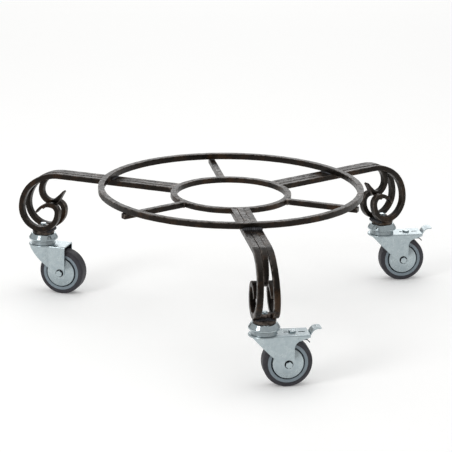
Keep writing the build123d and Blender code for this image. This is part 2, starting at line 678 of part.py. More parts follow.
def brake_adjuster(leg):
    """The slotted screw on the fork's top plate that sets the brake."""
    with BuildPart() as screw:
        with BuildSketch(castor_plane(leg, FORK_TOP)):
            with Locations((ADJUSTER_X, 0)):
                Circle(ADJUSTER_HEAD_RADIUS)
        extrude(amount=ADJUSTER_HEAD_HEIGHT)
        fillet(screw.faces().sort_by(Axis.Z)[-1].edges(), radius=ADJUSTER_HEAD_HEIGHT / 2)
        with BuildSketch(castor_plane(leg, FORK_TOP)):
            with Locations((ADJUSTER_X, 0)):
                Circle(ADJUSTER_SHANK_RADIUS)
        extrude(amount=-SHEET - ADJUSTER_SHANK)
        with BuildSketch(castor_plane(leg, FORK_TOP + ADJUSTER_HEAD_HEIGHT)):
            with Locations((ADJUSTER_X, 0)):
                Rectangle(2 * ADJUSTER_HEAD_RADIUS, ADJUSTER_SLOT)
        extrude(amount=-ADJUSTER_SLOT, mode=Mode.SUBTRACT)
    write(screw.part, f"{leg}_brake_adjuster")


# ---- the whole trolley --------------------------------------------------------------------------

ring("outer_ring", OUTER_RING_RADIUS, OUTER_RING_WIDTH, ARM_TOP, DECK_HEIGHT)
ring("inner_ring", INNER_RING_RADIUS, BAR_WIDTH, ARM_TOP - BAR_THICKNESS, ARM_TOP)
for spoke_name, opposite in (("rear_spoke", "front"), ("left_spoke", "right"), ("right_spoke", "left")):
    spoke(spoke_name, LEG_ANGLES[opposite] + 180)
kingpin_bolts()
kingpin_nuts()
kingpin_washers()
for leg_name in LEG_ANGLES:
    for bar_side, bar_name in ((-1, "left"), (0, "middle"), (1, "right")):
        leg_bar(leg_name, bar_side, bar_name)
    castor_seat(leg_name)
    swivel_cap(leg_name)
    kingpin_bush(leg_name)
    swivel_balls(leg_name)
    fork(leg_name)
    tyre(leg_name)
    wheel_centre(leg_name)
    thread_guards(leg_name)
    axle_sleeve(leg_name)
    axle_bolt(leg_name)
    axle_nut(leg_name)
    if leg_name in BRAKED:
        brake_pedal(leg_name)
        brake_pin(leg_name)
        brake_spring(leg_name)
        brake_adjuster(leg_name)
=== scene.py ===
import json
import math
from typing import NamedTuple

import bmesh
import bpy
from bpy.props import FloatProperty, FloatVectorProperty, PointerProperty
from mathutils import Matrix, Vector, noise


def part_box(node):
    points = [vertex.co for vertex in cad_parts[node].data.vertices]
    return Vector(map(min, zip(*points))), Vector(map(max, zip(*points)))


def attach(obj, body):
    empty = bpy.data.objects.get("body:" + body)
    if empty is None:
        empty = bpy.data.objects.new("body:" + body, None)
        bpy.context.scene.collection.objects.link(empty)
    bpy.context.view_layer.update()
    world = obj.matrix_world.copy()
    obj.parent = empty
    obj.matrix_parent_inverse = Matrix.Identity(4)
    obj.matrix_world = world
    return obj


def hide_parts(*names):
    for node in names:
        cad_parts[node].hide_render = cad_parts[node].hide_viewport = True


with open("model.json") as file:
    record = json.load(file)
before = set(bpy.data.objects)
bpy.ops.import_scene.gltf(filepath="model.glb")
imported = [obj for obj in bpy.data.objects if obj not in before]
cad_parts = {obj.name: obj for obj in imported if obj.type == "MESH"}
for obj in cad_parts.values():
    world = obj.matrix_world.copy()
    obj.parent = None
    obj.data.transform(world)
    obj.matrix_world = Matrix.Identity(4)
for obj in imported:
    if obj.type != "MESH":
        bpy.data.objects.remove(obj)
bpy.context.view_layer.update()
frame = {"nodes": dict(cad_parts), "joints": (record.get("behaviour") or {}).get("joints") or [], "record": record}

bl_info = {
    "name": "Wrought-iron plant trolley",
    "version": (1, 0, 0),
    "blender": (4, 5, 0),
    "location": "View3D > Sidebar > Plant trolley",
    "description": "Models the visible pieces of a round forged trolley on three swivel castors",
    "category": "Add Mesh",
}

MM = 0.001
FULL_TURN = math.tau
UP = Vector((0, 0, 1))
TOUCHING = 1e-6     # vertices closer than this are one

# ---- what the frame says -----------------------------

JOINTS = {joint["name"]: joint for joint in frame["joints"]}
BODIES = frame["record"]["behaviour"]["bodies"]
BODY_OF = {node: body for body, nodes in BODIES.items() for node in nodes}
SLOT_OF = {part["node"]: part["material_slot"] for part in frame["record"]["subparts"]}
LEGS = ("front", "right", "left")
BRAKED = tuple(leg for leg in LEGS if f"{leg}_brake_press" in JOINTS)
ARM_UNDERSIDE, ARM_TOP = (corner.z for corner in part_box("inner_ring"))
INNER_RING_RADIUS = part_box("inner_ring")[1].x
OUTER_RING_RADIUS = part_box("outer_ring")[1].x
BAR_WIDTH = 2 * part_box("rear_spoke")[1].x
BAR_THICKNESS = ARM_TOP - ARM_UNDERSIDE
SEAT_UNDERSIDE, SEAT_TOP = (corner.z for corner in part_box("front_castor_seat"))
SEAT_RADIUS = (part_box("front_castor_seat")[1].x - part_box("front_castor_seat")[0].x) / 2
KINGPIN_RADIUS = -JOINTS["front_swivel"]["pos_m"][1]
WHEEL_RADIUS = JOINTS["front_wheel_spin"]["pos_m"][2]
FUSED_DEPTH = 2.5 * MM      # how far a bar's start is melted into the small ring


def leg_frame(leg):
    """A leg's own axes: x outward, y across and z up, from the rings' axis at the height of the arms' top."""
    x, y, _ = JOINTS[f"{leg}_swivel"]["pos_m"]
    return Matrix.Translation((0, 0, ARM_TOP)) @ Matrix.Rotation(math.atan2(y, x), 4, "Z")


def castor_frame(leg):
    """A castor's own axes: x along its trail, y along its axle, from the floor under its swivel."""
    x, y, _ = JOINTS[f"{leg}_swivel"]["pos_m"]
    axle_x, axle_y, _ = JOINTS[f"{leg}_wheel_spin"]["pos_m"]
    heading = math.atan2(axle_y - y, axle_x - x)
    return Matrix.Translation((x, y, 0)) @ Matrix.Rotation(heading, 4, "Z")


def axle_frame(leg):
    """The same castor with z along its axle, from the middle of the wheel."""
    to_axle = Matrix.Translation(JOINTS[f"{leg}_wheel_spin"]["pos_m"])
    return to_axle @ castor_frame(leg).to_3x3().to_4x4() @ Matrix.Rotation(math.radians(-90), 4, "X")


# ---- sizes and colours that a user may change --------


def length(name, description, millimetres):
    """A size that is shown as a length."""
    return FloatProperty(
        name=name, description=description, default=millimetres * MM, unit="LENGTH", precision=5
    )


def turn(name, description, degrees):
    """A bend or a lean that is shown as an angle."""
    return FloatProperty(name=name, description=description, default=math.radians(degrees), subtype="ANGLE")


def linear(hex_colour):
    """A hex colour as the linear values that a shader takes."""
    channels = [int(hex_colour[at:at + 2], 16) / 255 for at in (1, 3, 5)]
    return [c / 12.92 if c <= 0.04045 else ((c + 0.055) / 1.055) ** 2.4 for c in channels]


def colour(name, description, hex_colour):
    """A colour that is shown as a swatch."""
    return FloatVectorProperty(
        name=name, description=description, default=linear(hex_colour), subtype="COLOR", min=0, max=1
    )


class ForgedBar(bpy.types.PropertyGroup):
    """The bar stock, and the bends of the legs."""

    corner: length("Worn corner", "Radius of the bar's worn corners", 1.1)
    step: length("Mesh step", "Spacing of the sections along a bar", 3.0)
    dent: length("Hammer dents", "Deepest unevenness left by the hammer", 0.35)
    dent_span: length("Dent span", "Distance from one dent to the next", 14.0)
    tip: length("Tip thickness", "Thickness of a scroll's hammered end", 3.5)
    crown: length("Crowned end", "How far the end of a leg's bar is crowned", 0.5)
    nub: length("Spoke nub", "How far the end of a spoke is crowned", 1.0)
    splay: turn("Splay", "Outward lean of the outer bars of a leg", 2.6)
    shoulder: length("Shoulder radius", "First, gentle bend of an outer bar", 75.0)
    shoulder_turn: turn("Shoulder turn", "How far the shoulder turns", 40.0)
    flank: length("Flank radius", "Second bend, until the bar points down", 53.0)
    hook_inset: length("Hook inset", "Lowest point of the scroll, inboard of the swivel axis", 2.0)
    curl: length("Curl radius", "Bend that brings the bar back up", 30.5)
    eye: length("Eye radius", "Small bend at the top of the curl", 12.0)
    tip_reach: length("Tip reach", "How far the hammered end runs outward", 26.0)
    tip_drop: length("Tip drop", "How far the hammered end comes down", 14.5)
    middle_inset: length("Middle bend", "Where the middle bar bends, inboard of the swivel axis", 27.5)
    middle_drop: length("Middle drop radius", "First bend of the middle bar", 29.5)
    middle_hook: length("Middle hook radius", "Bottom bend of the middle bar", 18.5)
    middle_curl: length("Middle curl radius", "Last bend of the middle bar", 14.0)
    middle_turn: turn("Middle curl turn", "How far the last bend turns", 53.0)
    middle_tip: length("Middle tip length", "Straight end of the middle bar", 18.0)


class CastorParts(bpy.types.PropertyGroup):
    """What the pressed, turned and moulded pieces of a castor need beyond the frame."""

    edge: length("Broken edge", "Bevel on sheet edges and fasteners", 0.3)
    cut_edge: length("Cut edge", "Rounding on the cut edges of turned sheet", 0.4)
    seat_play: length("Seat play", "Gap round the kingpin in the leg's seat", 0.5)
    seat_round: length("Seat rounding", "Rounding on the top edge of a seat", 1.0)
    sheet: length("Cap sheet", "Thickness of the swivel cap", 1.9)
    cap_crown: length("Cap crown radius", "Flat top of the swivel cap", 19.5)
    cap_skirt: length("Cap skirt", "Height of the swivel cap's upright edge", 2.0)
    cap_round: length("Cap crown rounding", "Rounding where the cap's flat top turns down", 1.6)
    cap_bend: length("Cap skirt rounding", "Rounding where the cap's skirt starts", 1.0)
    bolt: length("Kingpin radius", "Radius of the kingpin bolt", 5.0)
    bolt_head: length("Bolt head height", "Height of the kingpin bolt's head", 6.4)
    bolt_hex: length("Bolt hexagon", "Kingpin bolt's head across its flats", 17.0)
    thread_pitch: length("Thread pitch", "Rise of one turn of the kingpin bolt's thread", 1.5)
    tyre_band: length("Tyre band", "Radial thickness of the tyre", 7.1)
    tyre_half: length("Tyre half width", "From the middle of the wheel to the tyre's side", 12.0)
    tyre_round: length("Tyre shoulder", "Radius of the tyre's shoulders", 4.0)
    rim_wall: length("Rim wall", "Radial thickness of the rim", 4.9)
    rim_round: length("Rim rounding", "Rounding on the inner edge of the rim", 0.8)
    web_half: length("Web half thickness", "Half the thickness of the web", 3.0)
    web_draft: length("Web draft", "How far the rim's inside narrows toward the web", 1.0)
    web_fillet: length("Web fillet", "Fillets of the web", 1.0)
    hub_root: length("Hub root", "Radius of the hub where it meets the web", 11.0)
    hub: length("Hub radius", "Radius of the hub's end", 10.0)
    hub_bore: length("Hub bore", "Radius of the bore round the axle sleeve", 6.06)
    moulded_edge: length("Moulded edge", "Rounding on the other moulded edges", 0.5)
    guard_sheet: length("Guard sheet", "Thickness of a thread guard", 1.2)
    guard_middle: length("Guard middle radius", "Flat middle of a thread guard", 11.0)
    guard_dish: length("Guard dish", "How far a guard's edge stands in from its middle", 3.6)
    guard_round: length("Guard rounding", "Rounding where a guard's middle turns in", 1.2)
    wire: length("Spring wire radius", "Radius of the brake spring's wire", 0.8)
    pin: length("Pedal pin radius", "Radius of the pin that the pedal turns on", 1.5)
    coil_start: length("Coil start", "Inner end of the spring's coil, from the middle of the pedal", 10.5)
    coil_end: length("Coil end", "Outer end of the spring's coil", 14.1)
    tail_reach: length("Tail reach", "From the pedal's pivot to the bend of the spring's tail", 12.5)
    tail_end: length("Tail end", "Length of the spring's tail past its bend", 5.5)
    axle: length("Axle radius", "Radius of the axle bolt", 3.0)
    cheek: length("Cheek", "Outside of a fork's cheek, from the middle of the wheel", 18.5)
    washer: length("Axle washer", "Radius of the dark washer under an axle bolt's head and nut", 6.6)
    washer_thickness: length("Washer thickness", "Thickness of that washer", 0.9)


class Finishes(bpy.types.PropertyGroup):
    """The colours of the trolley's materials."""

    iron_scale: colour("Forge scale", "Dark scale on the forged iron", "#050404")
    iron_wax: colour("Waxed iron", "Warm brown of the waxed iron", "#130f0b")
    iron_rust: colour("Rust bloom", "Rust that shows through the wax", "#3c2816")
    iron_worn: colour("Worn iron", "Bare iron on rubbed corners", "#8b8078")
    weld: colour("Weld metal", "Grey-blue of a weld bead", "#3a3b41")
    zinc: colour("Zinc plate", "Bright zinc on pressed steel", "#b2bdc0")
    zinc_dull: colour("Dull zinc", "Cloudy patches of the zinc", "#a6b2b7")
    rubber: colour("Grey rubber", "Rubber of the tyres", "#26232a")
    centre: colour("Wheel centre", "Blue-grey of the moulded wheel centres", "#7f8c94")
    spring: colour("Spring steel", "Blued spring wire", "#2a2b2f")
    steel: colour("Greased steel", "Balls, sleeves and pins", "#8f9193")


class Stage(bpy.types.PropertyGroup):
    """Camera, floor and light."""

    camera: FloatVectorProperty(
        name="Camera", description="Where the camera stands", default=(-0.5787, -3.5987, 1.2202)
    )
    target: FloatVectorProperty(
        name="Target", description="What the camera looks at", default=(-0.0070, 0, 0.1505)
    )
    roll: turn("Camera roll", "How far the camera leans", 0.93)
    lens: FloatProperty(
        name="Lens", description="Focal length in millimetres on a 36 mm sensor", default=188.7
    )
    floor: colour("Floor", "Pale floor", "#fbfbfa")
    sky: FloatProperty(name="Sky", description="Strength of the white ceiling", default=0.62)
    walls: FloatProperty(name="Walls", description="Strength of the walls at floor level", default=0.25)


# ---- materials ---------------------------------------


def add_node(tree, kind, inputs=None, **settings):
    """Add a node, set its options, and set or link its inputs."""
    node = tree.nodes.new(kind)
    for option, value in settings.items():
        setattr(node, option, value)
    for socket, value in (inputs or {}).items():
        if isinstance(value, bpy.types.NodeSocket):
            tree.links.new(value, node.inputs[socket])
        else:
            node.inputs[socket].default_value = value
    return node


class Finish:
    """A material in the making: its tree, its surface shader and patterns in real millimetres."""

    def __init__(self, name, **surface):
        self.material = bpy.data.materials.new(name)
        self.material.use_nodes = True
        self.tree = self.material.node_tree
        self.shader = self.tree.nodes["Principled BSDF"]
        for socket, value in surface.items():
            self.shader.inputs[socket.replace("_", " ")].default_value = value
        self.place = add_node(self.tree, "ShaderNodeTexCoord").outputs["Object"]

    def cloud(self, size, detail=3.0, rough=0.55, warp=0.0):
        """Cloudy noise whose patches are about size across."""
        inputs = {
            "Vector": self.place, "Scale": 1 / size, "Detail": detail, "Roughness": rough, "Distortion": warp
        }
        return add_node(self.tree, "ShaderNodeTexNoise", inputs).outputs["Fac"]

    def between(self, value, low, high, to_low=0.0, to_high=1.0):
        """Spread the stretch from low to high over another one."""
        inputs = {"Value": value, "From Min": low, "From Max": high, "To Min": to_low, "To Max": to_high}
        return add_node(self.tree, "ShaderNodeMapRange", inputs).outputs["Result"]

    def blend(self, share, first, second):
        """Mix two colours by a share. Each is a socket or a swatch."""
        inputs = {0: share}
        for socket, tint in ((6, first), (7, second)):
            inputs[socket] = tint if isinstance(tint, bpy.types.NodeSocket) else (*tint, 1)
        return add_node(self.tree, "ShaderNodeMix", inputs, data_type="RGBA").outputs[2]

    def rubbed(self, low, high):
        """1 on the outward corners that hands and other things rub, 0 elsewhere."""
        geometry = add_node(self.tree, "ShaderNodeNewGeometry")
        return self.between(geometry.outputs["Pointiness"], low, high)

    def times(self, first, second):
        return add_node(self.tree, "ShaderNodeMath", {0: first, 1: second}, operation="MULTIPLY").outputs[0]

    def bump(self, height, depth, strength=1.0, over=None):
        """Raise the surface by a pattern, depth high, on top of another bump if there is one."""
        inputs = {"Height": height, "Distance": depth, "Strength": strength}
        if over is not None:
            inputs["Normal"] = over
        return add_node(self.tree, "ShaderNodeBump", inputs).outputs["Normal"]

    def connect(self, socket, output):
        self.tree.links.new(output, self.shader.inputs[socket])


def forged_iron(colours):
    """Hot-forged mild steel, oiled and waxed: dark scale that shines softly at a low angle."""
    finish = Finish("waxed forged iron", Metallic=0.0, IOR=1.29, Specular_Tint=(1, 0.88, 0.78, 1))
    mottle = finish.between(finish.cloud(22 * MM, detail=5.0, warp=0.6), 0.35, 0.65)
    base = finish.blend(mottle, colours.iron_scale, colours.iron_wax)
    # rust shows as soft patches a few centimetres long
    rust = finish.between(finish.cloud(30 * MM, detail=6.0, rough=0.65), 0.5, 0.68, 0.0, 0.75)
    base = finish.blend(rust, base, colours.iron_rust)
    # handled corners are rubbed to bare iron, but not evenly
    corners = finish.rubbed(0.515, 0.56)
    worn = finish.times(corners, finish.between(finish.cloud(9 * MM, detail=4.0), 0.4, 0.62))
    base = finish.blend(worn, base, colours.iron_worn)
    finish.connect("Base Color", base)
    sheen = finish.cloud(7 * MM, detail=5.0, warp=0.5)
    finish.connect("Roughness", finish.between(sheen, 0.3, 0.7, 0.2, 0.42))
    # scale pits under a millimetre wide, over the long facets of the hammer
    facets = finish.bump(finish.cloud(9 * MM, detail=1.0), 0.7 * MM, 0.6)
    finish.connect("Normal", finish.bump(finish.cloud(1.6 * MM, detail=4.0), 0.2 * MM, 0.6, over=facets))
    return finish.material


def weld_metal(colours):
    """Arc weld in mild steel, brushed clean: duller than the bar, with a blue-grey heat tint."""
    finish = Finish("brushed weld metal", Metallic=0.25)
    tint = finish.between(finish.cloud(6 * MM, detail=4.0), 0.35, 0.65)
    finish.connect("Base Color", finish.blend(tint, colours.iron_scale, colours.weld))
    finish.connect("Roughness", finish.between(tint, 0, 1, 0.55, 0.4))
    finish.connect("Normal", finish.bump(finish.cloud(0.9 * MM, detail=3.0), 0.1 * MM, 0.6))
    return finish.material


def zinc_plate(name, colours, rough_low, rough_high):
    """Electroplated zinc on steel: a cool, silvery metal with a cloudy, not mirror-like, shine."""
    finish = Finish(name, Metallic=1.0)
    cloud = finish.cloud(7 * MM, detail=5.0, warp=0.4)
    patches = finish.between(cloud, 0.35, 0.7)
    finish.connect("Base Color", finish.blend(patches, colours.zinc, colours.zinc_dull))
    finish.connect("Roughness", finish.between(cloud, 0.3, 0.7, rough_low, rough_high))
    # a faint orange peel from the rolled sheet, drawn at 1.4 mm so that it shows
    finish.connect("Normal", finish.bump(finish.cloud(1.4 * MM, detail=2.0), 0.015 * MM, 0.4))
    return finish.material


def grey_rubber(colours):
    """Thermoplastic rubber, moulded: matt and faintly dusty."""
    finish = Finish("moulded grey rubber", Metallic=0.0, IOR=1.52)
    dust = finish.between(finish.cloud(12 * MM, detail=5.0), 0.4, 0.75, 0.0, 0.08)
    finish.connect("Base Color", finish.blend(dust, colours.rubber, colours.centre))
    finish.connect("Roughness", finish.between(finish.cloud(5 * MM), 0.3, 0.7, 0.55, 0.7))
    finish.connect("Normal", finish.bump(finish.cloud(0.6 * MM, detail=2.0), 0.05 * MM, 0.5))
    return finish.material


def moulded_plastic(colours):
    """Injection-moulded polypropylene: even colour, a soft sheen and a fine moulded grain."""
    finish = Finish("moulded polypropylene", Metallic=0.0, IOR=1.49)
    shade = finish.between(finish.cloud(15 * MM, detail=3.0), 0.35, 0.7, 0.0, 0.15)
    finish.connect("Base Color", finish.blend(shade, colours.centre, colours.rubber))
    finish.connect("Roughness", finish.between(finish.cloud(4 * MM), 0.3, 0.7, 0.34, 0.46))
    finish.connect("Normal", finish.bump(finish.cloud(0.5 * MM, detail=2.0), 0.02 * MM, 0.4))
    return finish.material


def plain_steel(name, base, rough):
    """Ground or drawn steel with a film of grease: smooth, with faint smears."""
    finish = Finish(name, Metallic=1.0)
    smear = finish.cloud(4 * MM, detail=4.0, warp=1.0)
    stain = finish.between(smear, 0.4, 0.7, 0.0, 0.3)
    finish.connect("Base Color", finish.blend(stain, base, (0.02, 0.02, 0.02)))
    finish.connect("Roughness", finish.between(smear, 0.3, 0.7, rough, rough + 0.15))
    finish.connect("Normal", finish.bump(finish.cloud(0.8 * MM), 0.01 * MM, 0.4))
    return finish.material


MATERIAL_OF = {}


class TROLLEY_OT_finishes(bpy.types.Operator):
    """Make the trolley's materials, one for each finish"""

    bl_idname = "trolley.finishes"
    bl_label = "Finishes"

    def execute(self, context):
        colours = context.scene.trolley_finishes
        MATERIAL_OF["wrought_iron"] = forged_iron(colours)
        MATERIAL_OF["weld"] = weld_metal(colours)
        MATERIAL_OF["zinc_pressing"] = zinc_plate("zinc-plated pressing", colours, 0.25, 0.33)
        MATERIAL_OF["zinc_fasteners"] = zinc_plate("zinc-plated fastener", colours, 0.12, 0.2)
        MATERIAL_OF["grey_rubber"] = grey_rubber(colours)
        MATERIAL_OF["wheel_centre_plastic"] = moulded_plastic(colours)
        MATERIAL_OF["bearing_steel"] = plain_steel("greased bearing steel", colours.steel, 0.25)
        MATERIAL_OF["spring_steel"] = plain_steel("blued spring steel", colours.spring, 0.35)
        return {"FINISHED"}


# ---- mesh work ---------------------------------------


def finish_piece(bm, node, sharp=40.0, even=True):
    """Turn a bmesh into the visible piece that stands for a CAD node, and give it the node's finish."""
    piece = make_object(bm, f"{node}_finished", sharp, even)
    piece.data.materials.append(MATERIAL_OF[SLOT_OF[node]])
    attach(piece, BODY_OF[node])
    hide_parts(node)
    return piece


def make_object(bm, name, sharp, even):
    """Write a bmesh to a smooth-shaded object at the origin, with its corners kept sharp."""
    mesh = bpy.data.meshes.new(name)
    bm.to_mesh(mesh)
    bm.free()
    mesh.shade_smooth()
    mesh.set_sharp_from_angle(angle=math.radians(sharp))
    piece = bpy.data.objects.new(name, mesh)
    bpy.context.scene.collection.objects.link(piece)
    if even:
        shading = piece.modifiers.new("Even shading", "WEIGHTED_NORMAL")
        shading.keep_sharp = True
    return piece


def merged_copy(node):
    """A copy of a CAD node's mesh with its triangles merged, ready to be worked on."""
    bm = bmesh.new()
    bm.from_mesh(frame["nodes"][node].data)
    bmesh.ops.remove_doubles(bm, verts=bm.verts[:], dist=TOUCHING)
    bmesh.ops.dissolve_limit(bm, angle_limit=math.radians(0.5), verts=bm.verts[:], edges=bm.edges[:])
    return bm


def break_edges(bm, width, angle=30.0):
    """Bevel every edge that is sharper than the angle."""
    hard = [e for e in bm.edges if e.is_manifold and e.calc_face_angle() > math.radians(angle)]
    bmesh.ops.bevel(
        bm, geom=hard, offset=width, offset_type="OFFSET", affect="EDGES", segments=2, profile=0.5,
        material=-1, clamp_overlap=False,
    )


def spin(bm, geom, steps):
    """Turn vertices and edges all the way round the z axis."""
    bmesh.ops.spin(
        bm, geom=geom, cent=(0, 0, 0), axis=(0, 0, 1), angle=FULL_TURN, steps=steps, use_merge=True
    )


def lathe(bm, outline, place, steps=96):
    """Turn an outline of (radius, height, rounding) about the place's z axis, as one closed ring."""
    old = set(bm.verts)
    corners = [bm.verts.new((radius, 0, height)) for radius, height, _ in outline]
    for start, end in zip(corners, corners[1:] + corners[:1]):
        bm.edges.new((start, end))
    for corner, (_, _, rounding) in zip(corners, outline):
        if rounding:
            segments = max(3, round(rounding / (0.5 * MM)))
            bmesh.ops.bevel(
                bm, geom=[corner], offset=rounding, affect="VERTICES", segments=segments, profile=0.5,
                material=-1,
            )
    section = [vert for vert in bm.verts if vert not in old]
    edges = list({edge for vert in section for edge in vert.link_edges})
    spin(bm, section + edges, steps)
    turned = [vert for vert in bm.verts if vert not in old]
    bmesh.ops.remove_doubles(bm, verts=turned, dist=TOUCHING)
    turned = [vert for vert in bm.verts if vert not in old]
    bmesh.ops.transform(bm, matrix=place, verts=turned)
    face_outward(bm)


def mirrored(outline, side):
    """A lathe outline with its heights times side, which is 1 or -1."""
    return [(radius, side * height, rounding) for radius, height, rounding in outline]


def face_outward(bm):
    bmesh.ops.recalc_face_normals(bm, faces=bm.faces[:])


def extruded(bm, face):
    """Extrude an end face, and give back the new end, which still lies where the old one was."""
    result = bmesh.ops.extrude_face_region(bm, geom=[face])
    return next(item for item in result["geom"] if isinstance(item, bmesh.types.BMFace))


def bar_section(bm, width, thickness, corner):
    """One face across a bar, with worn corners: its width is along Y and its thickness along Z."""
    bmesh.ops.create_grid(bm, x_segments=1, y_segments=1, size=0.5)
    bmesh.ops.scale(bm, vec=(thickness, width, 1), verts=bm.verts[:])
    bmesh.ops.rotate(bm, cent=(0, 0, 0), matrix=Matrix.Rotation(math.radians(90), 3, "Y"), verts=bm.verts[:])
    bmesh.ops.bevel(
        bm, geom=bm.verts[:], offset=corner, affect="VERTICES", segments=3, profile=0.5, material=-1
    )
    flats = sorted(bm.edges, key=lambda edge: edge.calc_length())[-4:]
    for edge in flats:
        half, _ = bmesh.utils.edge_split(edge, edge.verts[0], 0.5)
        bmesh.utils.edge_split(half, half.verts[0], 0.5)
    return bm.faces[:][0]


def hammer(bm, bar, seed):
    """Sink the surface by soft, uneven dents, as the hammer leaves it."""
    bm.normal_update()
    # each seed reads a part of the noise that no other piece uses
    away = Vector((seed * 3.7, seed * 1.9, seed * 5.3))
    for vert in bm.verts:
        blow = 0.5 + 0.5 * noise.noise(vert.co / bar.dent_span + away)
        vert.co -= vert.normal * bar.dent * blow


class BarPen:
    """A bar in the making, drawn in the X-Z plane from its start, with its width along Y."""

    def __init__(self, bar, start):
        self.bar = bar
        self.bm = bmesh.new()
        self.face = bar_section(self.bm, BAR_WIDTH, BAR_THICKNESS, bar.corner)
        self.place = Vector((start, 0, -BAR_THICKNESS / 2))
        self.heading = 0.0
        bmesh.ops.translate(self.bm, vec=self.place, verts=self.bm.verts[:])
        self.butt = self.face.verts[:]

    def thin(self, share):
        """Hammer the end of the bar thinner."""
        if share != 1.0:
            own_axes = Matrix.Translation(self.place) @ Matrix.Rotation(-self.heading, 4, "Y")
            bmesh.ops.scale(self.bm, vec=(1, 1, share), space=own_axes.inverted(), verts=self.face.verts[:])

    def straight(self, run, thinner=1.0):
        """Run on in a straight line, thinning the bar to a share of its thickness."""
        steps = max(1, round(run / self.bar.step))
        move = Vector((math.cos(self.heading), 0, math.sin(self.heading))) * (run / steps)
        for _ in range(steps):
            self.face = extruded(self.bm, self.face)
            bmesh.ops.translate(self.bm, vec=move, verts=self.face.verts[:])
            self.place = self.place + move
            self.thin(thinner ** (1 / steps))

    def bend(self, radius, angle, thinner=1.0):
        """Run on round an arc that turns downward from an outward heading."""
        centre = self.place + radius * Vector((math.sin(self.heading), 0, -math.cos(self.heading)))
        steps = max(2, round(radius * angle / self.bar.step))
        step_turn = Matrix.Rotation(angle / steps, 3, "Y")
        for _ in range(steps):
            self.face = extruded(self.bm, self.face)
            bmesh.ops.rotate(self.bm, cent=centre, matrix=step_turn, verts=self.face.verts[:])
            self.place = centre + step_turn @ (self.place - centre)
            self.heading -= angle / steps
            self.thin(thinner ** (1 / steps))

    def crown_end(self, depth):
        """Close the bar with a slightly crowned end, in two steps of which the first rises more."""
        face_outward(self.bm)
        for share in (0.6, 0.4):
            bmesh.ops.inset_region(
                self.bm, faces=[self.face], thickness=depth * (1 - share), depth=depth * share,
                use_even_offset=True,
            )

    def put(self, place):
        """Carry the bar to its place, and fuse its start into the small ring's curve."""
        bmesh.ops.transform(self.bm, matrix=place, verts=self.bm.verts[:])
        for vert in self.butt:
            sunk = (INNER_RING_RADIUS - FUSED_DEPTH) / math.hypot(vert.co.x, vert.co.y)
            vert.co.x *= sunk
            vert.co.y *= sunk
        face_outward(self.bm)


# ---- forged pieces -----------------------------------


class TROLLEY_OT_rings(bpy.types.Operator):
    """Forge the big ring and the small ring from square bar"""

    bl_idname = "trolley.rings"
    bl_label = "Rings"

    def execute(self, context):
        bar = context.scene.trolley_bar
        for seed, node in enumerate(("outer_ring", "inner_ring")):
            low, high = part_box(node)
            bm = bmesh.new()
            face = bar_section(bm, BAR_WIDTH, high.z - low.z, bar.corner)
            bmesh.ops.delete(bm, geom=[face], context="FACES_ONLY")
            bmesh.ops.translate(bm, vec=(0, high.x - BAR_WIDTH / 2, (low.z + high.z) / 2), verts=bm.verts[:])
            steps = round(FULL_TURN * high.x / bar.step)
            spin(bm, bm.verts[:] + bm.edges[:], steps)
            bmesh.ops.remove_doubles(bm, verts=bm.verts[:], dist=TOUCHING)
            face_outward(bm)
            hammer(bm, bar, seed + 1)
            finish_piece(bm, node)
        return {"FINISHED"}


class TROLLEY_OT_spokes(bpy.types.Operator):
    """Forge the three single spokes, which end just past the big ring"""

    bl_idname = "trolley.spokes"
    bl_label = "Spokes"

    def execute(self, context):
        bar = context.scene.trolley_bar
        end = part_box("rear_spoke")[1].y
        spokes = (("rear_spoke", "front"), ("left_spoke", "right"), ("right_spoke", "left"))
        for seed, (node, opposite) in enumerate(spokes):
            pen = BarPen(bar, INNER_RING_RADIUS)
            pen.straight(end - bar.nub - INNER_RING_RADIUS)
            pen.crown_end(bar.nub)
            pen.put(leg_frame(opposite) @ Matrix.Rotation(math.pi, 4, "Z"))
            hammer(pen.bm, bar, seed + 4)
            finish_piece(pen.bm, node)
        return {"FINISHED"}


def draw_outer_bar(bar):
    """An outer bar of a leg: a gentle shoulder, a big C-shaped scroll and a hammered tip."""
    splay_rise = BAR_WIDTH * math.sin(bar.splay)
    scroll_height = (ARM_TOP - SEAT_TOP - splay_rise) / math.cos(bar.splay)
    shoulder_sin, shoulder_cos = math.sin(bar.shoulder_turn), math.cos(bar.shoulder_turn)
    hook = scroll_height - BAR_THICKNESS - bar.shoulder * (1 - shoulder_cos) - bar.flank * shoulder_cos
    bend_start = (
        KINGPIN_RADIUS - bar.hook_inset + hook - bar.flank * (1 - shoulder_sin) - bar.shoulder * shoulder_sin
    )
    quarter = math.radians(90)
    pen = BarPen(bar, INNER_RING_RADIUS)
    pen.straight(bend_start - INNER_RING_RADIUS)
    pen.bend(bar.shoulder, bar.shoulder_turn)
    pen.bend(bar.flank, quarter - bar.shoulder_turn)
    pen.bend(hook, quarter)
    pen.bend(bar.curl, quarter)
    pen.bend(bar.eye, quarter)
    tip_radius = (bar.tip_reach ** 2 + bar.tip_drop ** 2) / (2 * bar.tip_drop)
    pen.bend(tip_radius, 2 * math.atan(bar.tip_drop / bar.tip_reach), thinner=bar.tip / BAR_THICKNESS)
    return pen


def draw_middle_bar(bar):
    """The middle bar of a leg, with a scroll of its own that ends in a straight tip."""
    quarter = math.radians(90)
    pen = BarPen(bar, INNER_RING_RADIUS)
    pen.straight(KINGPIN_RADIUS - bar.middle_inset - INNER_RING_RADIUS)
    pen.bend(bar.middle_drop, quarter)
    pen.bend(bar.middle_hook, quarter)
    pen.bend(bar.middle_curl, bar.middle_turn)
    pen.straight(bar.middle_tip, thinner=bar.tip / BAR_THICKNESS)
    return pen


